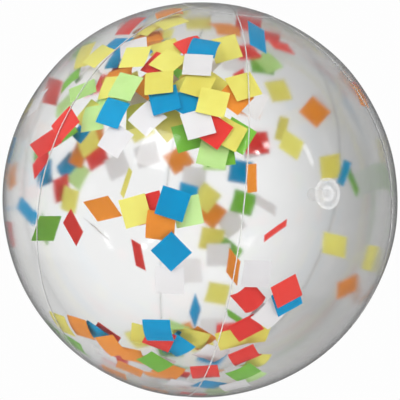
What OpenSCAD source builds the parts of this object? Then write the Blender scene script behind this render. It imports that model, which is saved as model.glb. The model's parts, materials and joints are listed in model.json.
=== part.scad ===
// Inflatable beach ball of clear film with loose paper confetti inside it.
// Millimetres, +Z up along the line through the two polar discs, origin at the ball's centre.
// Longitude 0 is the -Y side and grows towards +X. Latitude grows towards +Z.

/* [Ball] */
// Diameter of the inflated ball
ball_d = 300; // [280:5:330]
// Thickness of the clear film
film_t = 0.3; // [0.25:0.05:0.4]
// Number of gore panels round the ball
gore_count = 6; // [6:1:6]
// Longitude of the first seam, in degrees
first_seam_lon = 11.5; // [8:0.5:14]
// Width of the lap under the neighbouring panel
lap_w = 3; // [2:0.5:4]
// Radius of the hole that the gore points leave round each pole
pole_hole_r = 12; // [10:1:16]
// Radius of the round patch over each pole
disc_r = 35; // [30:1:40]

/* [Valve] */
// Longitude of the valve, in degrees
valve_lon = 36.5; // [34:0.5:46]
// Latitude of the valve, in degrees
valve_lat = 15.5; // [10:0.5:18]
// Outer radius of the flange that is welded to the panel
flange_r = 11; // [10.5:0.5:12]
// Height of the flange above the film
flange_h = 0.7; // [0.6:0.1:1]
// Outer radius of the stem
stem_r = 4.8; // [4.7:0.1:5]
// Radius of the bore that one blows through
bore_r = 3.2; // [3:0.1:3.3]
// Length of the stem below the ball's surface
stem_len = 16; // [15:1:20]
// Radius of the plug's cap
cap_r = 5.6; // [5.5:0.1:5.8]
// Length of the plug's shaft
plug_len = 10; // [8:1:11]

/* [Confetti] */
// Side of a paper square
paper_w = 20; // [18:0.5:20]
// Thickness of a paper square
paper_t = 0.2; // [0.15:0.05:0.25]
// Gap kept between stacked squares
paper_gap = 0.25; // [0.25:0.05:0.3]
// Largest lean of a square that lies on the wall, in degrees
wall_lean = 2.5; // [0:0.5:3]

/* [Hidden] */
COLOURS = ["yellow", "orange", "red", "blue", "green", "lime", "white"];
HEAPS = ["upper", "middle", "lower", "loose"];
GORES = [for (k = [1 : gore_count]) str("gore_panel_", k)];
DISCS = ["top_polar_disc", "bottom_polar_disc"];
VALVE = ["valve_flange", "valve_diaphragm", "valve_stem", "valve_check_flap", "valve_plug", "plug_tether"];

ball_r = ball_d / 2;
gore_angle = 360 / gore_count;
fine = 240;
round_fn = 96;
lap_gap = 0.06;
vinyl = [0.86, 0.89, 0.9, 0.35];
valve_clear = [0.92, 0.93, 0.93, 0.7];

// Valve, measured along its own axis from the ball's surface
rim_r = 0.5;
web_t = 0.5;
flange_w = 2.4;
web_outer_r = flange_r - flange_w;
web_depth = 6.5;
// Width of the web's foot on the stem, and how much its bend is softened
web_foot = 1;
web_bend = 0.2;
hole_gap = 0.3;
panel_hole_r = web_outer_r + hole_gap;
// How far a ring sinks clear of the film, and the height of the tools that cut through it
skin_gap = 0.01;
cut_h = 6;
lip_r = stem_r + 0.6;
lip_h = 0.8;
stem_top = 0.4;
cap_h = 1.2;
cap_edge_h = 0.4;
cap_edge_w = 0.8;
cap_dome = 0.3;
bead_r = bore_r - 0.04;
shaft_r = bore_r - 0.25;
// Plug's tip: width and height of its chamfer, then the bead's start, slope and height
tip_w = 0.4;
tip_h = 0.6;
bead_z = 1.6;
bead_slope = 0.6;
bead_h = 1;
flap_t = 0.5;
flap_r = stem_r - 0.3;
flap_gap = 0.15;
tether_w = 3;
tether_t = 0.7;
tether_ring_z = stem_top - lip_h - 1;
tether_ring_w = 0.4;

// Confetti, measured from the ball's centre
seam_r = ball_r - 2 * film_t;
wall_gap = 0.3;
wall_r = seam_r - wall_gap;
// How far a flat square's corners stand out from a wall that its middle would touch
bulge = 0.7;
// Step of the small leans, gap beside a square, distance beyond which two squares cannot meet,
// gap below a square, gap between the two layers, and the latitude that parts the heaps
lean_step = 137.5;
side_gap = 0.4;
reach_max = 1.5 * paper_w;
floor_gap = 1.05 * paper_gap;
shell_gap = 1;
heap_lat = 22;

// Shades are named by one letter in the lists of squares
LETTERS = ["Y", "O", "R", "B", "G", "L", "W"];

// Squares that cling to the wall, from the wall inwards:
// [shade, longitude, latitude, turn, curl], all in degrees. The curl is what the square bends
// through. A row may add the square's lean off the wall, and its spin in its own plane before that.
WALL = [
    // Front of the upper heap
    ["W", -9, 49.5, -8, 0], ["Y", -0.5, 38, 5, 0], ["Y", -21, 41.5, -21, 15], ["Y", -37, 48, -19, 0],
    ["Y", -56, 45, 3, 10], ["R", -48, 23, 25, 10], ["L", -32.5, 38, 0, 15], ["W", -4, 31.5, -26, 0],
    ["Y", 10, 44.5, -26, 12], ["R", 1, 30.5, 27, 0], ["Y", 6, 30.5, 22, 10], ["G", 9, 30.5, 26, 0],
    ["O", 7, 41, 34, 20], ["B", -17, 37, -30, 15], ["B", -33, 30, 3, 15], ["Y", -22.5, 50, 17, 10],
    ["R", -26.5, 49, 9, 10], ["B", -9.5, 58, 1, 50], ["R", -17, 59, 41, 20], ["Y", -7, 43.5, 8, 0],
    ["B", -9, 38, 20, 0],
    ["R", -56.5, 16, 19, 0, -31, -3], ["R", -64, 9.5, -11, 0, -11, 34], ["W", -44, 52, 43, 10],
    ["L", -51.5, 34, 3, 0, -18, 29], ["Y", -42, 39, -20, 10], ["B", -59, 52, -20, 20],
    ["W", -56, 37, -24, 15], ["R", -72, 60, -20, 20, 14, 0], ["O", -62, 71, 20, 30],
    ["L", -42, 28, -21, 20], ["G", -63.5, 20.5, 5, 0, -27, 8], ["B", -62, 26, -76, 120],
    ["W", -21, 31, 28, 30], ["O", -46, 45, -34, 110], ["R", -98, 27, 44, 0, 32, 42], ["W", -74, 25, -30, 20],
    ["Y", -46, 68, 18, 15], ["Y", -62, 64, -10, 30], ["O", -54, 61, 24, 40], ["Y", -72, 61, 12, 20],
    ["Y", 2.5, 66, 14, 0, 30, -34], ["B", 34, 72, -30, 0, 42, 32], ["O", 4, 76, 8, 25],
    ["R", -30, 77, 20, 30],
    ["R", 40, 78, -6, 20], ["Y", -74, 44, -28, 25, 22, 0], ["B", -72, 52, -20, 20, 18, 0],
    ["G", -74, 36, 22, 20],
    ["R", -84, 60, 16, 25], ["L", 2, 25, 6, 55], ["G", 4, 26, -14, 20], ["G", -7, 29.5, -26, 0],
    ["Y", -13, 53, 20, 0], ["Y", -11, 44, 40, 60], ["Y", 0, 46, 6, 0], ["Y", -28, 56, 8, 0],
    // Second layer of the upper heap
    ["W", -29, 23, 16, 20], ["Y", -15, 33, 38, 30], ["Y", -36, 60, 34, 0], ["W", -66, 40, 12, 20],
    ["O", -31, 45, 20, 30], ["L", -38, 34, 40, 0], ["Y", -29, 34, 66, 40], ["W", -24, 47, 32, 0],
    ["O", -14, 47, -30, 0], ["Y", -4, 53, 34, 20], ["W", -12, 64, 10, 30], ["R", -64, 51, -38, 30],
    ["O", -68, 47, 12, 30], ["Y", -47, 29, 10, 0], ["Y", -50, 46, 36, 20], ["Y", 9, 47, 34, 0],
    ["G", -24, 38, 18, 0], ["O", -4, 44, 22, 0], ["W", -35, 42, 30, 0], ["Y", -84, 20, 14, 20],
    // Middle of the near side
    ["B", -5.5, -3.5, 38, 0], ["B", -7, 9, 8, 20], ["O", -9.5, 2.5, -3, 40], ["L", -3, 7.5, 70, 70],
    ["O", -27.5, 3.5, -26, 0, 43, 2], ["Y", -17.5, 5, -26, 0], ["R", -14, 6.5, -25, 20],
    ["G", -51.5, -8.5, -76, 0, -87, -12], ["B", -97.5, -13.5, -63, 0, 52, 35], ["R", -39, -5, 61, 0, 69, 28],
    ["R", 28, -11.5, -33, 0], ["B", 29.5, -14.5, -33, 0], ["B", -83, 8, 80, 30], ["R", -86, -18, 70, 20],
    ["W", -68, -28, 8, 0], ["W", 18, -7, -3, 25], ["W", -5, -12, -7, 25], ["R", 18, -15, 42, 100],
    ["O", 77, 43, 16, 30], ["W", 26, -20, 30, 30],
    // Lower drift
    ["O", -14, -69, 10, 20], ["R", 14, -67, 4, 20], ["O", -36, -60, 20, 20], ["G", -62, -46, 16, 20],
    ["G", 27, -43.5, 38, 20], ["W", 31, -53.5, -44, 20], ["B", 18, -55, 14, 0], ["B", -7, -29, -13, 55],
    ["G", -8, -42.5, 37, 15], ["O", -23, -54, 24, 30],
    ["W", 4, -61, 12, 20], ["O", -9, -60, -14, 20], ["O", -3, -48, 20, 20], ["L", 35, -49, 30, 30],
    ["R", 25, -37.5, -44, 100], ["R", 13, -48, -20, 30], ["R", 21, -26.5, -42, 25],
    ["Y", 18, -32.5, -28, 20], ["Y", 27, -31, -8, 20], ["W", 13.5, -42, 20, 30], ["R", -7, -34, 16, 30],
    ["B", -1, -37, 40, 30], ["Y", 5, -37, 10, 20], ["O", 7, -38, 36, 25], ["B", 1, -43, 30, 40],
    ["Y", 4, -43, -20, 60], ["Y", 34, -44, 9, 60], ["W", 27, -24, 16, 20],
    ["O", -24.5, -39.5, -30, 20], ["O", -19, -45.5, -4, 20], ["Y", -47, -37.5, -7, 20],
    ["O", -38, -37, -6, 30],
    ["B", -33, -39, 34, 30], ["R", -30, -40.5, 34, 20], ["G", -49, -48, 12, 40], ["O", -21, -52, 7, 50],
    ["Y", -13, -36, 6, 0], ["R", 0, -59, 10, 40], ["W", -9, -53, 24, 20], ["W", 6, -67, 20, 30],
    ["O", 24, -64, 8, 20], ["R", -14, -68, 0, 30], ["G", -2, -74, 30, 30], ["B", -30, -66, 36, 30],
    ["L", 60, -74, 20, 20], ["W", -36, -52, 20, 20], ["R", -110, -70, 24, 20], ["Y", -150, -64, 14, 30],
    ["B", 150, -68, 4, 20], ["O", 178, -60, 30, 20], ["W", 162, -56, 18, 0], ["G", -172, -70, 12, 30],
    ["R", -162, -64, -21, 0], ["Y", 163, -64.5, 29, 0], ["W", 110, -66, 30, 30], ["L", -176, -62, -20, 0],
    ["B", -174, -70, 16, 20],
    // Far side
    ["R", 161.5, 67.5, -21, 0, 16, 7], ["R", 142, 67, -73, 0, 9, 43], ["R", 122, 67, -66, 0, 8, 40],
    ["Y", 134, 9.5, -23, 0, 16, 44], ["G", 122, 7, -45, 0, -25, -4], ["B", 120.5, 11.5, 42, 0, 27, -40],
    ["O", 139.5, 28, -57, 0, 21, 16],
    ["Y", 121.5, -14.5, 50, 0, -50, 38], ["Y", 104, -13, 11, 0], ["Y", 153, 20, 61, 0, 48, 38],
    ["Y", 145.5, 17.5, -22, 20], ["Y", 156, 32, 20, 20],
    ["B", 168, 0.5, 1, 30], ["W", 165, 10, 24, 40], ["L", -135, -5.5, -33, 10], ["O", -171, 1.5, 40, 40],
    ["W", 168, -17, 45, 20], ["O", 175.5, -15, -27, 10], ["W", -177, -4, 3, 20], ["G", 165, -9.5, -5, 60],
    ["Y", 178, -10, 60, 70], ["Y", 173.5, -24, 0, 60], ["G", 166, -28, -24, 60], ["W", 169, -30, 12, 20],
    ["Y", 166, -42, 2, 40], ["L", 177, 4, 7, 40], ["G", 178, 8, 9, 30], ["G", -117, 1, 20, 30],
    ["B", -118, -4, 10, 20], ["B", -127, -1, 40, 110], ["O", -129, 3, 70, 110], ["R", -123, -9, 14, 20],
    ["Y", -125, -13, 70, 60], ["O", -140, 6, 20, 30], ["R", -141, 1, 30, 20], ["Y", -131, 8, 34, 40],
    ["W", -149, -2, 30, 30], ["O", 107.5, -24.5, -22, 0, 14, -13], ["R", 163, 12, 12, 40],
    ["W", -160, 2, 24, 30], ["Y", -156, 11, 34, 60], ["W", 174, 41, 0, 20], ["Y", 172, 30, 30, 20],
    ["O", 167, 25, -4, 20], ["G", 162, 42, 4, 30], ["L", 158, 45, 36, 20], ["G", -162, 33, 10, 20],
    ["R", 168, 50, 24, 30], ["B", -150, 45, 36, 20], ["O", 178, 64, 12, 30], ["Y", -146, 52, 20, 20],
    ["Y", -163, 60, 20, 20], ["O", -176, 72, 30, 20], ["R", -118, 57, 20, 20], ["O", -141, 50, 30, 20],
    ["W", -118, 34, 6, 20], ["G", -104, 42, 30, 20], ["R", -132, 26, 16, 30],
    ["W", -100, 12, 20, 30], ["L", -106, 24, 44, 20],
    ["O", -96, -2, 10, 30], ["G", -95, -20, 20, 20], ["Y", -140, 66, 12, 30], ["B", -110, 62, 30, 20],
    ["R", 101, 41, 14, 20], ["G", -146, 24, 24, 30], ["R", 150, -57, 30, 60]
];

// Squares that hang loose inside the others
LOOSE = [
    ["R", 33.5, 1.5, -31, 0, 48, -14], ["R", -24, -17.5, 68, 0, 71, -34], ["Y", -32, 12, -86, 0, -46, 4],
    ["O", 21, 22, -87, 0, 47, -14], ["W", 146, -7, -29, 0, 88, 39], ["B", 161, -74, -86, 0, 80, 23],
    ["B", -174, -10, -79, 0, -44, -15], ["O", 18, -15, 84, 0, 82, 0], ["W", -44, -10, 20, 0, 50, 0],
    ["W", 180, -45, 25, 0, -29, -11], ["L", -84, 34, 60, 0, 50, 10], ["W", 30, 58, 10, 0, 45, 20],
    ["G", -140, 30, 14, 0, 65, 30], ["R", 160, 58, 50, 0, 55, 0], ["Y", -30, 70, 18, 0, 40, 25],
    ["G", 40, -50, 24, 0, 60, 40]
];

// Direction of a square's centre, and of its two edges, in the ball's axes
function centre_dir(p) = [cos(p[2]) * sin(p[1]), -cos(p[2]) * cos(p[1]), sin(p[2])];
function east(p) = [cos(p[1]), sin(p[1]), 0];
function north(p) = [-sin(p[2]) * sin(p[1]), sin(p[2]) * cos(p[1]), cos(p[2])];
function edge_x(p) = cos(p[3]) * east(p) - sin(p[3]) * north(p);
function edge_z(p) = sin(p[3]) * east(p) + cos(p[3]) * north(p);

// Lean of a square: its own, or a small one that differs from each to the next
function lean_of(p, i) = len(p) > 5 ? p[5] : wall_lean * sin(lean_step * i);
function spin_of(p) = len(p) > 6 ? p[6] : 0;
function half_breadth(p) = paper_w / 2 * (abs(cos(spin_of(p))) + abs(sin(spin_of(p))));
function curl_sag(p) = p[4] == 0 ? 0 : paper_w / (p[4] * PI / 180) * (1 - cos(p[4] / 2));
function below(p, lean) = paper_t / 2 + curl_sag(p) + half_breadth(p) * abs(sin(lean));
function above(p, lean) = paper_t / 2 + bulge + half_breadth(p) * abs(sin(lean));

// True when no edge direction of either square keeps the two apart
function reach(p, a) = (half_breadth(p) + side_gap) * (abs(edge_x(p) * a) + abs(edge_z(p) * a));
function apart(p, q, d, a) = abs(d * a) > reach(p, a) + reach(q, a);
function over(p, rp, q, rq) =
    let (d = centre_dir(p) * rp - centre_dir(q) * rq)
    norm(d) < reach_max
    && !apart(p, q, d, edge_x(p)) && !apart(p, q, d, edge_z(p))
    && !apart(p, q, d, edge_x(q)) && !apart(p, q, d, edge_z(q));

// Radius at which square i comes to rest: each square starts at the wall and drops below
// every earlier square that it lies over, so a list runs from the wall inwards
function settle(rows, leans, done, r) =
    let (i = len(done), p = rows[i], top = above(p, leans[i]))
    let (floors = [for (j = [0 : 1 : i - 1])
        let (floor_j = done[j] - below(rows[j], leans[j]))
        if (r + top + paper_gap > floor_j && over(p, r, rows[j], done[j])) floor_j])
    len(floors) == 0 ? r : settle(rows, leans, done, min(floors) - top - floor_gap);
function stack(rows, leans, start_r, done = []) =
    len(done) == len(rows) ? done
    : stack(rows, leans, start_r, concat(done, [
        settle(rows, leans, done, start_r - above(rows[len(done)], leans[len(done)]))]));

WALL_LEANS = [for (i = [0 : len(WALL) - 1]) lean_of(WALL[i], i)];
WALL_R = stack(WALL, WALL_LEANS, wall_r);
// The loose squares keep inside the deepest square of the wall layer
loose_r = min([for (i = [0 : len(WALL) - 1]) WALL_R[i] - below(WALL[i], WALL_LEANS[i])]) - shell_gap;
LOOSE_LEANS = [for (i = [0 : len(LOOSE) - 1]) lean_of(LOOSE[i], i)];
LOOSE_R = stack(LOOSE, LOOSE_LEANS, loose_r);

function heap_of(p) = p[2] > heap_lat ? "upper" : p[2] < -heap_lat ? "lower" : "middle";
// Squares of one heap and shade, each with its radius and lean
function papers(heap, colour) =
    let (letter = LETTERS[search([colour], COLOURS)[0]])
    heap == "loose"
    ? [for (i = [0 : len(LOOSE) - 1]) if (LOOSE[i][0] == letter) [LOOSE[i], LOOSE_R[i], LOOSE_LEANS[i]]]
    : [for (i = [0 : len(WALL) - 1]) if (WALL[i][0] == letter && heap_of(WALL[i]) == heap)
        [WALL[i], WALL_R[i], WALL_LEANS[i]]];
CONFETTI = [for (h = HEAPS) for (c = COLOURS) if (len(papers(h, c)) > 0) str("confetti_", h, "_", c)];

// Turns a child that looks along -Y at the origin to a longitude and latitude
module at_place(lon, lat) {
    rotate([0, 0, lon]) rotate([-lat, 0, 0]) children();
}

// Frame of the valve: Z points out of the ball, Z = 0 on its surface
module at_valve() {
    at_place(valve_lon, valve_lat) rotate([90, 0, 0]) translate([0, 0, ball_r]) children();
}

// Half outline of a spherical shell between two radii, ready to be turned about Z
module shell_outline(inner_r, outer_r) {
    difference() {
        circle(r = outer_r, $fn = fine);
        circle(r = inner_r, $fn = fine);
        translate([-2 * outer_r, -outer_r]) square([2 * outer_r, 2 * outer_r]);
    }
}

// Band of even width along the meridian of +X, from pole to pole. One side of it is sunk
// into its own panel, and the other lies under the next one.
module lap() {
    rotate([-90, 0, 0]) rotate([0, 0, -90]) rotate_extrude(angle = 180, $fn = fine) polygon([
        [ball_r - 2 * film_t, -lap_w / 2], [ball_r - film_t / 2, -lap_w / 2],
        [ball_r - film_t / 2, -film_t], [ball_r - film_t - lap_gap, -film_t],
        [ball_r - film_t - lap_gap, lap_w], [ball_r - 2 * film_t, lap_w]]);
}

// One lens-shaped panel, with the lap that its far edge slips under the next panel
module gore_panel(k) {
    start = first_seam_lon - 90 + (k - 1) * gore_angle;
    difference() {
        union() {
            rotate([0, 0, start])
                rotate_extrude(angle = gore_angle, $fn = fine) shell_outline(ball_r - film_t, ball_r);
            rotate([0, 0, start + gore_angle]) lap();
        }
        cylinder(r = pole_hole_r, h = 3 * ball_r, center = true, $fn = round_fn);
        if (k == 1) at_valve() cylinder(r = panel_hole_r, h = cut_h, center = true, $fn = round_fn);
    }
}

// Round patch over a pole
module polar_disc() {
    intersection() {
        rotate_extrude($fn = fine) shell_outline(ball_r, ball_r + film_t);
        cylinder(r = disc_r, h = 2 * ball_r, $fn = round_fn);
    }
}

// Height of the film's outer face at a distance from the valve's axis
function film_z(r) = sqrt(ball_r * ball_r - r * r) - ball_r + skin_gap;

// Flat ring with a raised rim, welded on the film round the hole
module valve_flange() {
    color(valve_clear) at_valve() rotate_extrude($fn = round_fn) {
        polygon([
            [web_outer_r, film_z(web_outer_r)], [flange_r, film_z(flange_r)],
            [flange_r, flange_h], [web_outer_r, flange_h]]);
        translate([flange_r - rim_r, flange_h]) circle(r = rim_r, $fn = 32);
    }
}

// Soft web, pushed in: from the flange down round the stem
module valve_diaphragm() {
    color(valve_clear) at_valve() rotate_extrude($fn = round_fn) polygon([
        [web_outer_r - web_t, flange_h], [web_outer_r, flange_h],
        [web_outer_r, -web_depth / 2], [stem_r + web_foot, -web_depth], [stem_r, -web_depth],
        [stem_r, -web_depth + web_t], [stem_r + web_foot - web_bend, -web_depth + web_t],
        [web_outer_r - web_t, -web_depth / 2 + web_bend]]);
}

module valve_stem() {
    color(valve_clear) at_valve() rotate_extrude($fn = round_fn) polygon([
        [bore_r, -stem_len], [stem_r, -stem_len], [stem_r, stem_top - lip_h],
        [lip_r, stem_top - lip_h], [lip_r, stem_top], [bore_r, stem_top]]);
}

// Thin disc that closes the inner end of the stem, held at its upper edge
module valve_check_flap() {
    color(valve_clear) at_valve()
        translate([0, 0, -stem_len - flap_gap - flap_t]) cylinder(r = flap_r, h = flap_t, $fn = round_fn);
}

// Stopper: shaft with a sealing bead, and a domed cap
module valve_plug() {
    tip_z = stem_top - plug_len;
    bead_top = tip_z + bead_z + bead_slope + bead_h;
    color(valve_clear) at_valve() rotate_extrude($fn = round_fn) polygon([
        [0, tip_z], [shaft_r - tip_w, tip_z], [shaft_r, tip_z + tip_h], [shaft_r, tip_z + bead_z],
        [bead_r, tip_z + bead_z + bead_slope], [bead_r, bead_top],
        [shaft_r, bead_top + bead_slope], [shaft_r, stem_top],
        [cap_r, stem_top], [cap_r, stem_top + cap_h - cap_edge_h], [cap_r - cap_edge_w, stem_top + cap_h],
        [0, stem_top + cap_h + cap_dome]]);
}

// Ring round the stem's neck, and the strap that folds up to the cap
module plug_tether() {
    strap_r = (stem_top + cap_h / 2 - tether_ring_z) / 2 + tether_t / 4;
    color(valve_clear) at_valve() union() {
        translate([0, 0, tether_ring_z - tether_t / 2]) difference() {
            cylinder(r = lip_r + tether_ring_w, h = tether_t, $fn = round_fn);
            cylinder(r = stem_r, h = cut_h, center = true, $fn = round_fn);
        }
        translate([cap_r, tether_w / 2, (tether_ring_z + stem_top + cap_h / 2) / 2])
            rotate([90, 0, 0]) rotate([0, 0, -90]) rotate_extrude(angle = 180, $fn = 48)
            translate([strap_r - tether_t / 2, 0]) square([tether_t, tether_w]);
    }
}

// One paper square, bent about its own X edge where it has a curl
module paper(curl) {
    if (curl == 0) {
        cube([paper_w, paper_t, paper_w], center = true);
    } else {
        bend_r = paper_w / (curl * PI / 180);
        translate([-paper_w / 2, bend_r, 0]) rotate([0, 90, 0]) rotate([0, 0, -90 - curl / 2])
            rotate_extrude(angle = curl, $fn = fine)
            translate([bend_r - paper_t / 2, 0]) square([paper_t, paper_w]);
    }
}

module confetti(heap, colour) {
    for (row = papers(heap, colour))
        at_place(row[0][1], row[0][2]) translate([0, -row[1], 0])
            rotate([0, row[0][3], 0]) rotate([row[2], 0, 0]) rotate([0, spin_of(row[0]), 0])
            paper(row[0][4]);
}

function shade(colour) =
    colour == "yellow" ? [0.95, 0.87, 0.27] : colour == "orange" ? [0.91, 0.53, 0.2]
    : colour == "red" ? [0.87, 0.2, 0.16] : colour == "blue" ? [0.1, 0.58, 0.83]
    : colour == "green" ? [0.4, 0.68, 0.2] : colour == "lime" ? [0.7, 0.87, 0.55] : [0.96, 0.95, 0.94];

for (k = [1 : gore_count])
    color(vinyl) gore_panel(k);
color(vinyl) polar_disc();  // top_polar_disc
color(vinyl) mirror([0, 0, 1]) polar_disc();  // bottom_polar_disc
valve_flange();
valve_diaphragm();
valve_stem();
valve_check_flap();
valve_plug();
plug_tether();
for (heap = HEAPS) for (colour = COLOURS)
    color(shade(colour)) confetti(heap, colour);
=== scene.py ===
"""Looks of a clear inflatable beach ball with paper confetti in it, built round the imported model.

Metres, +Z up along the line through the two polar discs. Longitude 0 is the -Y side and
grows towards +X. Latitude grows towards +Z.
"""

import json
import math
import random

import bmesh
import bpy
from mathutils import Matrix, Vector, noise


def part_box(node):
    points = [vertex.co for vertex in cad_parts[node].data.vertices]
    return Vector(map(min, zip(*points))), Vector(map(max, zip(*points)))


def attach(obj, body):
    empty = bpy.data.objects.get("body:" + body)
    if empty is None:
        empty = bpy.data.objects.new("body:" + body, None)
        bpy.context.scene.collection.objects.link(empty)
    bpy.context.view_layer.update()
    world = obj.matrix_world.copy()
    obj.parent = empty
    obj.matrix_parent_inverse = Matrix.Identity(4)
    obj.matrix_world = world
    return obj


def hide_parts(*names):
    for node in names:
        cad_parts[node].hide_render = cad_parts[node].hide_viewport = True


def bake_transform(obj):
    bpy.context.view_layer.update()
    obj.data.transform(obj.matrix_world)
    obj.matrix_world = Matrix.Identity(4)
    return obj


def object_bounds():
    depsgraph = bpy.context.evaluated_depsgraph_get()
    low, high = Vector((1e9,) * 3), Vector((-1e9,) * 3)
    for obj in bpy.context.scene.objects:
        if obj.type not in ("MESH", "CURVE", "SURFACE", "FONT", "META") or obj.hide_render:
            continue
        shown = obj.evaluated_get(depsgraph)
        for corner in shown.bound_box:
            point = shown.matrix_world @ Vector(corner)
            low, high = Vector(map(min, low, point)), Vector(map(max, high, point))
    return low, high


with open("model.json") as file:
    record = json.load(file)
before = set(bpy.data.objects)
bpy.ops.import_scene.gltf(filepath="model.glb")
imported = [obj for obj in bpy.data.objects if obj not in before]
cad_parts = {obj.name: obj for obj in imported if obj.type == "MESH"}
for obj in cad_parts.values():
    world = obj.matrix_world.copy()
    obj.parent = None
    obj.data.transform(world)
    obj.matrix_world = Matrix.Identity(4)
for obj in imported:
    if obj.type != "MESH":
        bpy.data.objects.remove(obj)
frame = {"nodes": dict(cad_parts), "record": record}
CAD_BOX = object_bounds()

MM = 0.001
TAU = 2 * math.pi

# Ball
GORE_NODES = sorted(name for name in frame["nodes"] if name.startswith("gore_panel_"))
GORES = len(GORE_NODES)
BALL_R = round(max(abs(v) for name in GORE_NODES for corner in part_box(name) for v in corner), 4)
FILM_T = 0.3 * MM
PAPER_T = 0.1 * MM
FIRST_SEAM = math.radians(11.5)
GORE_STEP = TAU / GORES
LAP_W = 0.8 * MM
LAP_DROP = 1.1 * FILM_T
WELD_HALF = 0.45 * MM
WELD_ENDS = math.radians(78)
WELD_RIB_PITCH = 1.5 * MM
POLE_HOLE_R = 12 * MM
DISC_R = (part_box("top_polar_disc")[1][0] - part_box("top_polar_disc")[0][0]) / 2
DISC_LIFT = 0.1 * MM
VALVE_HOLE_R = 8.9 * MM
# The panel has a finer mesh this near to the valve's axis
VALVE_REFINED_R = 18 * MM

# Relief of the film: a groove along each seam, puckers that run off it, and a slow swell
GROOVE_DEPTH = 0.12 * MM
GROOVE_W = 5 * MM
PUCKER_DEPTH = 0.1 * MM
PUCKER_REACH = 9 * MM
PUCKERS_PER_M = 170
# This far from a seam the puckers of its two panels have parted
PUCKERS_PART = 3 * MM
SWELL = 0.5 * MM
SWELL_SCALE = 3.4
RELIEF_ENDS = math.radians(72)
RELIEF_FADE = math.radians(12)
# How far out the paper may come, clear of the laps
PAPER_LIMIT = BALL_R - 2.6 * FILM_T

# Camera, at the photograph's angle
CAMERA_DISTANCE = 8 * BALL_R
CAMERA_ELEVATION = math.radians(11.1)
CAMERA_ROLL = math.radians(8.3)
CAMERA_LENS = 141.1

# Studio. A slope is where it starts and ends, and the brightness at each end.
# The room as gloss mirrors it, lighter towards one side, and the floor as gloss mirrors it
LIGHT_SIDE = Vector((-0.9, 0.2, 0.1)).normalized()
ROOM_SLOPE = (-0.6, 0.8, 0.08, 0.35)
DIM_FLOOR = 0.15
# The room and the floor where they light matt pieces, and as the camera sees them
MATT_LIGHT = 2.4
BACKDROP = 0.985
# The card behind the ball: how far back it stands, half its size, its bright spot and its slope from white
# there to grey. The grey is painted shade that the ball shows on its right side, seen through the film.
CARD_Y = 0.35
CARD_HALF = 0.9
CARD_SPOT = (-0.05, -0.07)
CARD_SHADE_SLOPE = (0.09, 0.245, 1.03, 0.4)
# The floor carries the card's slope of painted shade on: its X counts this much, and its Y stands for this
# much height
FLOOR_ACROSS = 1.15
FLOOR_RISE = 0.28
FLOOR_HALF = 15
FLOOR_GAP = 0.2 * MM


def joint(name):
    return next(j for j in frame["record"]["behaviour"]["joints"] if j["name"] == name)


VALVE_AXIS = Vector(joint("valve_pop_out")["axis"]).normalized()
VALVE_LON = math.atan2(VALVE_AXIS.x, -VALVE_AXIS.y)
VALVE_LAT = math.asin(VALVE_AXIS.z)


# ---------------------------------------------------------------- helpers


def direction(lon, lat):
    return Vector((math.cos(lat) * math.sin(lon), -math.cos(lat) * math.cos(lon), math.sin(lat)))


def new_object(name, mesh, material, body):
    piece = bpy.data.objects.new(name, mesh)
    bpy.context.scene.collection.objects.link(piece)
    mesh.materials.append(material)
    if body:
        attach(piece, body)
    return piece


def smooth(mesh):
    for face in mesh.polygons:
        face.use_smooth = True
    return mesh


def mesh_of(name, bm):
    mesh = bpy.data.meshes.new(name)
    bm.to_mesh(mesh)
    bm.free()
    return mesh


def grid_mesh(name, rows, closed=False):
    """Mesh of quads through a rectangular table of points."""
    width = len(rows[0])
    points = [p for row in rows for p in row]
    faces = []
    for i in range(len(rows) - 1):
        for j in range(width - (0 if closed else 1)):
            k = (j + 1) % width
            faces.append((i * width + j, i * width + k, (i + 1) * width + k, (i + 1) * width + j))
    mesh = bpy.data.meshes.new(name)
    mesh.from_pydata([tuple(p) for p in points], [], faces)
    mesh.validate()
    return smooth(mesh)


def lathe_mesh(name, profile, place, steps=96):
    """Closed solid of revolution: profile is a closed loop of (radius, height) points in metres."""
    bm = bmesh.new()
    rings = []
    for s in range(steps):
        a = TAU * s / steps
        ring = [Vector((r * math.cos(a), r * math.sin(a), h)) for r, h in profile]
        rings.append([bm.verts.new(place @ point) for point in ring])
    for s in range(steps):
        here, there = rings[s], rings[(s + 1) % steps]
        for i in range(len(profile)):
            j = (i + 1) % len(profile)
            bm.faces.new((here[i], there[i], there[j], here[j]))
    bmesh.ops.remove_doubles(bm, verts=bm.verts, dist=1e-7)
    bmesh.ops.recalc_face_normals(bm, faces=bm.faces)
    return smooth(mesh_of(name, bm))


def thicken_film(piece):
    """Gives a film its thickness, outwards, with crisp cut edges that take the weld's look."""
    bm = bmesh.new()
    bm.from_mesh(piece.data)
    for edge in bm.edges:
        if edge.is_boundary:
            edge.smooth = False
    bm.to_mesh(piece.data)
    bm.free()
    piece.data.materials.append(WELD)
    thicken = piece.modifiers.new("thickness", "SOLIDIFY")
    thicken.thickness = FILM_T
    thicken.offset = 1.0
    thicken.use_even_offset = False
    thicken.material_offset_rim = 1


def round_edges(piece, width, angle):
    rounding = piece.modifiers.new("rounding", "BEVEL")
    rounding.width = width
    rounding.segments = 3
    rounding.limit_method = "ANGLE"
    rounding.angle_limit = math.radians(angle)


# ---------------------------------------------------------------- materials


# Sockets of a Mix node that mixes colours
MIX_SHARE, MIX_FIRST, MIX_SECOND, MIX_RESULT = 0, 6, 7, 2


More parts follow.
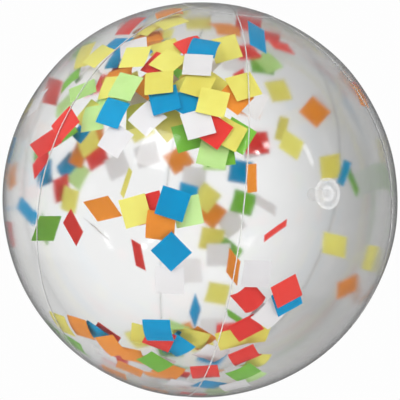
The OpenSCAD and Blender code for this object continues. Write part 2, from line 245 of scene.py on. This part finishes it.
class Nodes:
    """Short names for making the nodes of a material or of a world."""

    def __init__(self, name, world=False):
        self.block = (bpy.data.worlds if world else bpy.data.materials).new(name)
        self.block.use_nodes = True
        self.tree = self.block.node_tree
        self.tree.nodes.clear()
        self.out = self.add("ShaderNodeOutputWorld" if world else "ShaderNodeOutputMaterial")

    def add(self, kind, **values):
        """A node with its properties and sockets set. A socket's name has _ for a space."""
        node = self.tree.nodes.new(kind)
        for key, value in values.items():
            if hasattr(node, key) and key not in node.inputs:
                setattr(node, key, value)
            else:
                node.inputs[key.replace("_", " ")].default_value = value
        return node

    def link(self, a, b):
        self.tree.links.new(a, b)

    def grain(self, scale, detail=2):
        """Noise in the object's own coordinates."""
        coords = self.add("ShaderNodeTexCoord")
        texture = self.add("ShaderNodeTexNoise", Scale=scale, Detail=detail)
        self.link(coords.outputs["Object"], texture.inputs["Vector"])
        return texture.outputs["Fac"]

    def bump(self, height, strength, distance, shader):
        """Gives the shader a bump from a height."""
        node = self.add("ShaderNodeBump", Strength=strength, Distance=distance)
        self.link(height, node.inputs["Height"])
        self.link(node.outputs["Normal"], shader.inputs["Normal"])

    def glow(self, strength, kind="ShaderNodeEmission"):
        return self.add(kind, Color=(1, 1, 1, 1), Strength=strength).outputs[0]

    def mix(self, share, first, second):
        """The first shader, and the second in that share. A share may be a number or a socket."""
        mixer = self.add("ShaderNodeMixShader")
        if isinstance(share, float):
            mixer.inputs["Fac"].default_value = share
        else:
            self.link(share, mixer.inputs["Fac"])
        self.link(first, mixer.inputs[1])
        self.link(second, mixer.inputs[2])
        return mixer.outputs["Shader"]

    def slope(self, value, ends, interpolation="LINEAR"):
        """Value that runs from ends[2] at ends[0] to ends[3] at ends[1]."""
        ramp = self.add("ShaderNodeMapRange")
        ramp.interpolation_type = interpolation
        for name, end in zip(("From Min", "From Max", "To Min", "To Max"), ends):
            ramp.inputs[name].default_value = end
        self.link(value, ramp.inputs["Value"])
        return ramp.outputs["Result"]

    def lights_matt(self, rays):
        """1 for a ray that has left a matt surface, otherwise 0."""
        test = self.add("ShaderNodeMath", operation="GREATER_THAN")
        test.inputs[1].default_value = 0.5
        self.link(rays.outputs["Diffuse Depth"], test.inputs[0])
        return test.outputs["Value"]

    def surface(self, socket):
        self.link(socket, self.out.inputs["Surface"])


def clear_vinyl(name, tint, roughness, shadow):
    """Clear soft vinyl: a glossy, slightly hazy glass that lets light through to what is inside."""
    n = Nodes(name)
    film = n.add("ShaderNodeBsdfPrincipled", Base_Color=(*tint, 1), Roughness=roughness, IOR=1.45,
                 Transmission_Weight=1.0)
    n.bump(n.grain(38, 3), 0.12, 0.4 * MM, film)
    open_way = n.add("ShaderNodeBsdfTransparent", Color=(*shadow, 1))
    rays = n.add("ShaderNodeLightPath")
    n.surface(n.mix(rays.outputs["Is Shadow Ray"], film.outputs["BSDF"], open_way.outputs["BSDF"]))
    return n.block


def milky_vinyl(name, tone, alpha, roughness, fineness):
    """Thick or pressed vinyl: whitish, see-through, with a fine grain in its gloss."""
    n = Nodes(name)
    body = n.add("ShaderNodeBsdfPrincipled", Base_Color=(tone, tone, tone, 1), Roughness=roughness,
                 Alpha=alpha)
    n.bump(n.grain(fineness), 0.4, 0.1 * MM, body)
    n.surface(body.outputs["BSDF"])
    return n.block


def paper(name, colour, dark):
    """Thin tissue paper: matt, faintly fibrous, and it lets some light through. The attribute "tone"
    says how far each square is from the dark colour to the other, and a cloudy noise varies that."""
    n = Nodes(name)
    cloud = n.add("ShaderNodeMath", operation="MULTIPLY_ADD")
    cloud.inputs[1].default_value = 0.5
    cloud.inputs[2].default_value = -0.25
    n.link(n.grain(120), cloud.inputs[0])
    tone = n.add("ShaderNodeAttribute", attribute_name="tone")
    amount = n.add("ShaderNodeMath", operation="ADD", use_clamp=True)
    n.link(tone.outputs["Fac"], amount.inputs[0])
    n.link(cloud.outputs["Value"], amount.inputs[1])
    shades = n.add("ShaderNodeMix", data_type="RGBA")
    shades.inputs[MIX_FIRST].default_value = (*dark, 1)
    shades.inputs[MIX_SECOND].default_value = (*colour, 1)
    n.link(amount.outputs["Value"], shades.inputs[MIX_SHARE])
    face = n.add("ShaderNodeBsdfPrincipled", Roughness=0.75, Specular_IOR_Level=0.03)
    n.link(shades.outputs[MIX_RESULT], face.inputs["Base Color"])
    n.bump(n.grain(900, 4), 0.35, 0.05 * MM, face)
    through = n.add("ShaderNodeBsdfTranslucent")
    n.link(shades.outputs[MIX_RESULT], through.inputs["Color"])
    n.surface(n.mix(0.3, face.outputs["BSDF"], through.outputs["BSDF"]))
    return n.block


FILM = clear_vinyl("clear_film", (0.97, 0.972, 0.97), 0.075, (0.95, 0.95, 0.95))
WELD = milky_vinyl("clear_weld", 0.55, 0.36, 0.25, 420)
MOULDING = milky_vinyl("clear_moulding", 0.55, 0.1, 0.12, 260)
BEAD = milky_vinyl("clear_bead", 0.6, 0.15, 0.12, 260)
FLANGE = milky_vinyl("clear_flange", 0.6, 0.13, 0.12, 260)

PAPERS = {
    "yellow": paper("paper_yellow", (0.82, 0.8, 0.21), (0.68, 0.58, 0.08)),
    "orange": paper("paper_orange", (0.86, 0.34, 0.05), (0.7, 0.23, 0.02)),
    "red": paper("paper_red", (0.84, 0.07, 0.055), (0.64, 0.025, 0.025)),
    "blue": paper("paper_blue", (0.0, 0.36, 0.66), (0.0, 0.22, 0.46)),
    "green": paper("paper_green", (0.23, 0.56, 0.065), (0.12, 0.36, 0.03)),
    "lime": paper("paper_lime", (0.62, 0.84, 0.38), (0.4, 0.66, 0.2)),
    "white": paper("paper_white", (0.8, 0.79, 0.8), (0.7, 0.69, 0.71)),
}


# ---------------------------------------------------------------- film


def seam_distance(lon, lat):
    """Distance along the surface from the nearest seam, signed, and that seam's number."""
    k = round((lon - FIRST_SEAM) / GORE_STEP)
    return (lon - FIRST_SEAM - k * GORE_STEP) * math.cos(lat) * BALL_R, k % GORES


def relief(lon, lat):
    """Height of the film above the true sphere."""
    off, k = seam_distance(lon, lat)
    fade = 1 - min(1, max(0, (abs(lat) - RELIEF_ENDS) / RELIEF_FADE))
    swell = SWELL * noise.noise(direction(lon, lat) * SWELL_SCALE)
    groove = -GROOVE_DEPTH * math.exp(-(off / GROOVE_W) ** 2)
    # Each seam, and each side of it, has its own place in the noise
    along = lat * BALL_R * PUCKERS_PER_M
    place = k * 9.7
    side = 11 if off > 0 else 0
    both = noise.noise(Vector((along * 0.8, place, 3)))
    own = noise.noise(Vector((along, place + side, off * 60)))
    near = math.exp(-abs(off) / PUCKER_REACH)
    blend = min(1, abs(off) / PUCKERS_PART)
    pucker = PUCKER_DEPTH * near * (both * (1 - blend) + own * blend)
    return swell + fade * (groove + pucker)


def film_point(lon, lat, out=0.0):
    """Point on the film's inner face, or that far out from it."""
    return direction(lon, lat) * (BALL_R - FILM_T + out + relief(lon, lat))


def gore_mesh(k):
    """Lens-shaped panel from seam k to the next, with the lap that goes under its neighbour."""
    across, down = 44, 150
    # How the lap steps down: share of its width, and share of its drop
    lap_steps = ((0.12, 0.15), (0.25, 0.5), (0.38, 0.85), (0.5, 1.0), (1.0, 1.0))
    top = math.acos(POLE_HOLE_R / BALL_R)
    start = FIRST_SEAM + k * GORE_STEP
    rows = []
    for i in range(down + 1):
        lat = top * (2 * i / down - 1)
        lap = LAP_W / (BALL_R * math.cos(lat))
        row = [film_point(start + GORE_STEP * j / across, lat) for j in range(across + 1)]
        for part, drop in lap_steps:
            row.append(film_point(start + GORE_STEP + lap * part, lat, -LAP_DROP * drop))
        rows.append(row)
    return grid_mesh(GORE_NODES[k] + "_film", rows)


def cut_valve_hole(mesh):
    """Refines the panel round the valve, takes away what is inside the hole, and rounds its edge."""
    place = valve_frame()
    back = place.inverted()
    radius = VALVE_HOLE_R

    def near(point, reach):
        local = back @ point
        return local.xy.length < reach and local.z > -20 * MM

    bm = bmesh.new()
    bm.from_mesh(mesh)
    around = [e for e in bm.edges if all(near(vert.co, VALVE_REFINED_R) for vert in e.verts)]
    bmesh.ops.subdivide_edges(bm, edges=around, cuts=4, use_grid_fill=True)
    for vert in bm.verts:
        if near(vert.co, VALVE_REFINED_R + MM):
            d = vert.co.normalized()
            vert.co = film_point(math.atan2(d.x, -d.y), math.asin(d.z))
    gone = [f for f in bm.faces if near(f.calc_center_median(), radius)]
    bmesh.ops.delete(bm, geom=gone, context="FACES")
    for edge in bm.edges:
        if edge.is_boundary:
            for vert in edge.verts:
                if near(vert.co, radius + 2 * MM):
                    local = back @ vert.co
                    local.xy = local.xy.normalized() * radius
                    local.z = math.sqrt((BALL_R - FILM_T) ** 2 - radius ** 2) - BALL_R
                    vert.co = place @ local
    bm.to_mesh(mesh)
    bm.free()


def valve_frame():
    """Matrix of the valve's own axes: Z out of the ball, Z = 0 on its surface."""
    turn = Matrix.Rotation(VALVE_LON, 4, "Z") @ Matrix.Rotation(-VALVE_LAT, 4, "X")
    return turn @ Matrix.Rotation(math.pi / 2, 4, "X") @ Matrix.Translation((0, 0, BALL_R))


def make_gores():
    for k, node in enumerate(GORE_NODES):
        mesh = gore_mesh(k)
        if k == 0:
            cut_valve_hole(mesh)
        piece = new_object(node + "_film", mesh, FILM, "ball")
        thicken_film(piece)
        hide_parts(node)


def make_welds():
    """Raised, slightly cloudy band where each pair of panels is welded."""
    down = 260
    # Section of the band: across it in half widths, and up in millimetres. The last point is underneath.
    rise = [(-1, 0.0), (-0.7, 0.1), (-0.3, 0.15), (0.0, 0.17), (0.3, 0.15), (0.7, 0.1), (1, 0.0), (0, -0.05)]
    for k in range(GORES):
        rows = []
        for i in range(down + 1):
            lat = WELD_ENDS * (2 * i / down - 1)
            reach = WELD_HALF / (BALL_R * math.cos(lat))
            lon = FIRST_SEAM + k * GORE_STEP + LAP_W / 2 / (BALL_R * math.cos(lat))
            ribs = 1 + 0.25 * math.sin(lat * BALL_R / WELD_RIB_PITCH * TAU)
            rows.append([film_point(lon + reach * u, lat, FILM_T + h * MM * (ribs if h > 0.1 else 1))
                         for u, h in rise])
        mesh = grid_mesh(f"seam_weld_{k + 1}", rows, closed=True)
        new_object(f"seam_weld_{k + 1}", mesh, WELD, "ball")


def make_discs():
    """Round patches over the poles, with the pressed ring of their weld."""
    rings, steps = 26, 120
    press_r = 0.93 * DISC_R
    for node, side in (("top_polar_disc", 1), ("bottom_polar_disc", -1)):
        rows = []
        for i in range(rings + 1):
            r = DISC_R * i / rings
            ring_press = 0.25 * MM * math.exp(-((r - press_r) / (0.8 * MM)) ** 2)
            row = []
            for j in range(steps):
                lon = TAU * j / steps
                lat = side * math.acos(max(0.0005, r / BALL_R))
                row.append(film_point(lon, lat, FILM_T + DISC_LIFT + 0.5 * ring_press))
            rows.append(row)
        mesh = grid_mesh(node + "_film", rows, closed=True)
        bm = bmesh.new()
        bm.from_mesh(mesh)
        bmesh.ops.remove_doubles(bm, verts=bm.verts, dist=0.15 * MM)
        if side < 0:
            bmesh.ops.reverse_faces(bm, faces=bm.faces)
        bm.to_mesh(mesh)
        bm.free()
        piece = new_object(node + "_film", smooth(mesh), FILM, "ball")
        thicken_film(piece)
        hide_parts(node)
        make_disc_weld(node, side)


def make_disc_weld(node, side):
    """Ring where a disc is welded to the gores, at its edge."""
    steps = 160
    # As for the seams: across the band in half widths, and up in millimetres
    rise = ((-1, 0.05), (-0.6, 0.16), (0, 0.2), (0.6, 0.16), (1, 0.05), (0, 0.0))
    rows = []
    for u, h in rise:
        lat = side * math.acos((DISC_R - 0.55 * MM + WELD_HALF * u) / BALL_R)
        out = 2 * FILM_T + DISC_LIFT + h * MM
        rows.append([film_point(TAU * j / steps, lat, out) for j in range(steps)])
    mesh = grid_mesh(node + "_weld", rows + rows[:1], closed=True)
    bm = bmesh.new()
    bm.from_mesh(mesh)
    bmesh.ops.remove_doubles(bm, verts=bm.verts, dist=0.001 * MM)
    bmesh.ops.recalc_face_normals(bm, faces=bm.faces)
    bm.to_mesh(mesh)
    bm.free()
    new_object(node + "_weld", mesh, WELD, "ball")


# ---------------------------------------------------------------- confetti


def loose_parts(node):
    """Vertex positions of each separate solid of a CAD node."""
    bm = bmesh.new()
    bm.from_mesh(frame["nodes"][node].data)
    bmesh.ops.remove_doubles(bm, verts=bm.verts, dist=1e-6)
    seen = set()
    parts = []
    for first in bm.verts:
        if first in seen:
            continue
        stack, part = [first], []
        seen.add(first)
        while stack:
            v = stack.pop()
            part.append(v.co.copy())
            for edge in v.link_edges:
                w = edge.other_vert(v)
                if w not in seen:
                    seen.add(w)
                    stack.append(w)
        parts.append(part)
    bm.free()
    return parts


def corners(part):
    """The four corners of a thin square, bent or flat, in order round its edge."""
    centre = sum(part, Vector()) / len(part)
    far = sorted(part, key=lambda p: -(p - centre).length)[:8]
    groups = []
    for p in far:
        for group in groups:
            if (group[0] - p).length < 2 * MM:
                group.append(p)
                break
        else:
            groups.append([p])
    if len(groups) != 4:
        raise ValueError("a paper square has no four corners")
    points = [sum(g, Vector()) / len(g) for g in groups]
    first = points[0]
    others = sorted(points[1:], key=lambda p: (p - first).length)
    return first, others[0], others[2], others[1], centre


def curl_of(chord, side):
    """Angle through which a strip as long as side bends when its ends come as close as chord. Half of
    it is the x for which sin(x) / x is chord / side, found from its series by Newton's method."""
    ratio = min(1.0, chord / side)
    if ratio > 0.9999:
        return 0.0
    x = math.sqrt(6 * (1 - ratio))
    for _ in range(8):
        x -= (math.sin(x) / x - ratio) / ((x * math.cos(x) - math.sin(x)) / x ** 2)
    return 2 * x


def paper_square(bm, layer, part, rng):
    """One thin sheet in the place of a CAD square: bent as it is, and a little cockled."""
    a, b, c, d, centre = corners(part)
    u, v = b - a, d - a
    if v.length > u.length:
        u, v = v, u
    side = u.length
    curl = curl_of(v.length, side)
    u_dir, v_dir = u.normalized(), v.normalized()
    middle = (a + b + c + d) / 4
    normal = u_dir.cross(v_dir).normalized()
    if (centre - middle).dot(normal) < 0:
        normal = -normal
    cells = 8
    # What makes each sheet its own: a twist, turned corners, a place in the noise and a shade
    twist = rng.uniform(-0.15, 0.15) * MM
    lift = [rng.choice((0, 0.1, 0.25)) * MM * rng.choice((-1, 1)) for _ in range(4)]
    phase = rng.uniform(0, 100)
    tone = rng.uniform(0.35, 1.0)
    table = []
    for i in range(cells + 1):
        row = []
        for j in range(cells + 1):
            s, t = i / cells - 0.5, j / cells - 0.5
            if curl > 0.001:
                radius = side / curl
                along = radius * math.sin(t * curl)
                up = radius * (math.cos(t * curl) - math.cos(curl / 2))
            else:
                along, up = side * t, 0.0
            up += twist * 4 * s * t
            for n, (cs, ct) in enumerate(((-1, -1), (-1, 1), (1, 1), (1, -1))):
                nearness = max(0.0, cs * s + ct * t - 0.45) / 0.55
                up += lift[n] * nearness ** 2
            up += 0.08 * MM * noise.noise(Vector((s * 2.5 + phase, t * 2.5, phase)))
            ragged = 0.12 * MM * noise.noise(Vector((s * 9, t * 9, phase)))
            edge = 1 + ragged / side * (2 if abs(s) == 0.5 or abs(t) == 0.5 else 0)
            point = middle + u_dir * (side * s * edge) + v_dir * (along * edge) + normal * up
            if point.length > PAPER_LIMIT:
                point *= PAPER_LIMIT / point.length
            row.append(point)
        table.append(row)
    add_sheet(bm, layer, table, tone)


def add_sheet(bm, layer, table, tone):
    """Closed thin sheet through a table of points, with a crisp rim."""
    last = len(table) - 1
    faces = []
    layers = []
    for side in (1, -1):
        verts = []
        for i, row in enumerate(table):
            line = []
            for j, point in enumerate(row):
                across = table[min(last, i + 1)][j] - table[max(0, i - 1)][j]
                along = table[i][min(last, j + 1)] - table[i][max(0, j - 1)]
                line.append(bm.verts.new(point + across.cross(along).normalized() * side * PAPER_T / 2))
            verts.append(line)
        layers.append(verts)
        for i in range(last):
            for j in range(last):
                quad = (verts[i][j], verts[i + 1][j], verts[i + 1][j + 1], verts[i][j + 1])
                face = bm.faces.new(quad if side > 0 else quad[::-1])
                face.smooth = True
                faces.append(face)
    rim = [(i, 0) for i in range(last)] + [(last, j) for j in range(last)]
    rim += [(i, last) for i in range(last, 0, -1)] + [(0, j) for j in range(last, 0, -1)]
    over, under = layers
    for (i, j), (k, m) in zip(rim, rim[1:] + rim[:1]):
        face = bm.faces.new((over[i][j], under[i][j], under[k][m], over[k][m]))
        faces.append(face)
        for edge in face.edges:
            edge.smooth = False
    for face in faces:
        for loop in face.loops:
            loop[layer] = (tone, tone, tone, 1)


def make_confetti():
    rng = random.Random(7)
    for node in sorted(name for name in frame["nodes"] if name.startswith("confetti_")):
        colour = node.split("_")[-1]
        body = "loose_confetti" if "loose" in node else "wall_confetti"
        bm = bmesh.new()
        layer = bm.loops.layers.float_color.new("tone")
        for part in loose_parts(node):
            paper_square(bm, layer, part, rng)
        mesh = mesh_of(node + "_paper", bm)
        piece = new_object(node + "_paper", mesh, PAPERS[colour], body)
        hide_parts(node)


# ---------------------------------------------------------------- valve


def lathe_piece(name, node, profile, body, bevel, material=MOULDING):
    """Moulded piece turned about the valve's axis, with rounded edges. The profile is in millimetres."""
    mesh = lathe_mesh(name, [(r * MM, h * MM) for r, h in profile], valve_frame())
    piece = new_object(name, mesh, material, body)
    round_edges(piece, bevel * MM, 35)
    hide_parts(node)
    return piece


def film_height(r):
    """Height in millimetres of the film's outer face at a distance from the valve's axis."""
    ball = BALL_R / MM
    return math.sqrt(ball * ball - r * r) - ball


def make_valve():
    """Profiles are (distance from the valve's axis, height above the ball's surface) in millimetres."""
    lathe_piece("valve_flange_ring", "valve_flange", [
        (8.62, film_height(8.6)), (10.95, film_height(10.95)), (10.9, 0.42), (8.62, 0.42)],
        "ball", 0.08, FLANGE)
    bead = [(10.5 + 0.44 * math.cos(a), 0.6 + 0.44 * math.sin(a))
            for a in (math.radians(15 * i - 22) for i in range(16))]
    lathe_piece("valve_flange_bead", "valve_flange", bead, "ball", 0.01, BEAD)

    web = [(8.1, 0.42), (8.59, 0.42), (8.6, -1.2), (8.3, -3.0), (7.4, -4.9), (6.4, -6.1), (5.6, -6.5),
           (4.82, -6.5), (4.82, -6.05), (5.5, -6.05), (6.1, -5.7), (7.0, -4.6), (7.8, -2.9), (8.1, -1.2)]
    piece = lathe_piece("valve_diaphragm_web", "valve_diaphragm", web, None, 0.06)
    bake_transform(piece)

    lathe_piece("valve_stem_tube", "valve_stem", [
        (3.2, -15.7), (3.5, -16.0), (4.8, -16.0), (4.8, -0.4), (5.4, -0.4), (5.4, 0.38), (3.2, 0.38)],
        "stem", 0.12)

    lathe_piece("valve_check_flap_disc", "valve_check_flap", [
        (0.0, -16.62), (4.45, -16.62), (4.45, -16.2), (3.7, -16.18), (3.3, -16.3), (0.0, -16.3)],
        "flap", 0.06)

    lathe_piece("valve_plug_stopper", "valve_plug", [
        (0.0, -9.6), (2.5, -9.6), (2.95, -9.0), (2.95, -8.0), (3.15, -7.4), (3.15, -6.5), (2.95, -5.8),
        (2.95, 0.42), (5.6, 0.42), (5.6, 1.15), (5.1, 1.5), (4.3, 1.62), (3.9, 1.5), (0.0, 1.75)],
        "plug", 0.1)

    make_tether()


def make_tether():
    """Ring round the stem's neck and the strap that folds up to the cap."""
    place = valve_frame()
    ring = lathe_mesh("plug_tether_strap", [(r * MM, h * MM) for r, h in (
        (4.85, -1.7), (5.75, -1.7), (5.8, -1.4), (5.75, -1.1), (4.85, -1.1))], place)
    bm = bmesh.new()
    bm.from_mesh(ring)
    # The strap is a half circle in side view: its steps, half its width, the height of its middle,
    # its radius and half its thickness
    steps, half = 24, 1.2 * MM
    middle, radius, thick = -0.2 * MM, 1.35 * MM, 0.28 * MM
    sections = []
    for i in range(steps + 1):
        a = -math.pi / 2 + math.pi * i / steps
        section = []
        for t, y in ((-thick, -half), (thick, -half), (thick, half), (-thick, half)):
            r = radius + t
            point = Vector((5.6 * MM + r * math.cos(a), y, middle + r * math.sin(a)))
            section.append(bm.verts.new(place @ point))
        sections.append(section)
    for here, there in zip(sections, sections[1:]):
        for i in range(4):
            bm.faces.new((here[i], here[(i + 1) % 4], there[(i + 1) % 4], there[i])).smooth = True
    bm.faces.new(sections[0][::-1])
    bm.faces.new(sections[-1])
    bmesh.ops.recalc_face_normals(bm, faces=bm.faces)
    bm.to_mesh(ring)
    bm.free()
    piece = new_object("plug_tether_strap", ring, MOULDING, None)
    round_edges(piece, 0.1 * MM, 40)
    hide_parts("plug_tether")
    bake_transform(piece)


# ---------------------------------------------------------------- stage


def make_stage():
    scene = bpy.context.scene
    scene.view_settings.view_transform = "Standard"
    scene.view_settings.look = "None"
    scene.cycles.transparent_max_bounces = 32
    scene.cycles.transmission_bounces = 16

    stage_plane("floor", FLOOR_HALF, (0, 0, CAD_BOX[0][2] - FLOOR_GAP), floor_material())
    make_world()
    make_painted_shade_card()


def make_world():
    """Room that looks even to the camera, dim and lighter on one side in gloss, and bright to matt pieces."""
    n = Nodes("studio", world=True)
    coords = n.add("ShaderNodeTexCoord")
    side = n.add("ShaderNodeVectorMath", operation="DOT_PRODUCT")
    side.inputs[1].default_value = LIGHT_SIDE
    n.link(coords.outputs["Generated"], side.inputs[0])
    room = n.add("ShaderNodeBackground")
    n.link(n.slope(side.outputs["Value"], ROOM_SLOPE), room.inputs["Color"])
    rays = n.add("ShaderNodeLightPath")
    even = n.glow(BACKDROP, "ShaderNodeBackground")
    seen = n.mix(rays.outputs["Is Camera Ray"], room.outputs["Background"], even)
    n.surface(n.mix(n.lights_matt(rays), seen, n.glow(MATT_LIGHT, "ShaderNodeBackground")))
    bpy.context.scene.world = n.block
    n.block.cycles.sampling_method = "NONE"


def painted_shade_slope(n, across, rise, base):
    """Socket of painted shade that runs from white round the card's bright spot to grey away from it. Seen
    through the clear ball, the grey is shade on the ball's right side. The height on the card is base plus
    rise times the object's own Y, and across scales its X."""
    coords = n.add("ShaderNodeTexCoord")
    place = n.add("ShaderNodeVectorMath", operation="MULTIPLY_ADD")
    place.inputs[1].default_value = (across, rise, 0)
    place.inputs[2].default_value = (-CARD_SPOT[0], base - CARD_SPOT[1], 0)
    n.link(coords.outputs["Object"], place.inputs[0])
    away = n.add("ShaderNodeVectorMath", operation="LENGTH")
    n.link(place.outputs["Vector"], away.inputs[0])
    return n.slope(away.outputs["Value"], CARD_SHADE_SLOPE, "SMOOTHSTEP")


def stage_plane(name, size, location, material):
    """Square plane of the stage, with half its side as size. It glows, but isn't sampled as a lamp."""
    bm = bmesh.new()
    bmesh.ops.create_grid(bm, x_segments=30, y_segments=30, size=size)
    mesh = mesh_of(name, bm)
    plane = bpy.data.objects.new(name, mesh)
    bpy.context.scene.collection.objects.link(plane)
    plane.location = location
    mesh.materials.append(material)
    material.cycles.emission_sampling = "NONE"
    return plane


def make_painted_shade_card():
    """Glowing card that stands behind the ball. Only what is clear shows it: white behind its left, and grey
    away from there, a painted shade on the ball's right side."""
    n = Nodes("card")
    middle = CARD_HALF + CAD_BOX[0][2]
    painted_shade_glow = n.add("ShaderNodeEmission")
    # The grey end of this glow is painted shade for the ball's right side, seen through the film
    n.link(painted_shade_slope(n, 1, 1, middle), painted_shade_glow.inputs["Color"])
    n.surface(painted_shade_glow.outputs["Emission"])
    card = stage_plane("card", CARD_HALF, (0, CARD_Y, middle), n.block)
    card.rotation_euler = (math.pi / 2, 0, 0)
    card.visible_camera = False
    card.visible_diffuse = False
    card.visible_shadow = False
    card.visible_glossy = False


def floor_material():
    """White floor. What is clear shows it with the card's slope of painted shade, and what is glossy mirrors
    it dim.
    """
    n = Nodes("floor")
    painted_shade_glow = n.add("ShaderNodeEmission")
    base = CAD_BOX[0][2] - FLOOR_RISE * CARD_Y
    # Seen through the ball, the floor's slope is painted shade on the ball's right side, as on the card
    n.link(painted_shade_slope(n, FLOOR_ACROSS, FLOOR_RISE, base), painted_shade_glow.inputs["Color"])
    rays = n.add("ShaderNodeLightPath")
    mirrored = n.add("ShaderNodeMath", operation="SUBTRACT", use_clamp=True)
    n.link(rays.outputs["Is Glossy Ray"], mirrored.inputs[0])
    n.link(rays.outputs["Is Transmission Ray"], mirrored.inputs[1])
    through = n.mix(mirrored.outputs["Value"], painted_shade_glow.outputs["Emission"], n.glow(DIM_FLOOR))
    matt = n.mix(n.lights_matt(rays), through, n.glow(MATT_LIGHT))
    n.surface(n.mix(rays.outputs["Is Camera Ray"], matt, n.glow(BACKDROP)))
    return n.block


def area_light(name, location, size, power, size_y=None):
    """Lamp that points at the ball's centre."""
    data = bpy.data.lights.new(name, "AREA")
    data.shape = "RECTANGLE"
    data.size = size
    data.size_y = size_y or size
    data.energy = power
    lamp = bpy.data.objects.new(name, data)
    bpy.context.scene.collection.objects.link(lamp)
    lamp.location = location
    lamp.rotation_euler = (-Vector(location)).to_track_quat("-Z", "Y").to_euler()


def make_lights():
    area_light("key", (-0.9, -1.42, 1.06), 0.7, 4.5)
    area_light("spark", (0.86, -1.32, 1.22), 0.08, 0.7)
    area_light("strip", (1.57, -0.58, 1.1), 0.08, 0.35, 0.35)


def make_camera():
    data = bpy.data.cameras.new("camera")
    data.lens = CAMERA_LENS
    data.sensor_width = 36
    camera = bpy.data.objects.new("camera", data)
    bpy.context.scene.collection.objects.link(camera)
    camera.location = direction(0, CAMERA_ELEVATION) * CAMERA_DISTANCE
    aim = (-camera.location).to_track_quat("-Z", "Y").to_matrix()
    camera.rotation_euler = (aim @ Matrix.Rotation(CAMERA_ROLL, 3, "Z")).to_euler()
    bpy.context.scene.camera = camera


make_camera()
make_stage()
make_lights()
make_gores()
make_welds()
make_discs()
make_confetti()
make_valve()
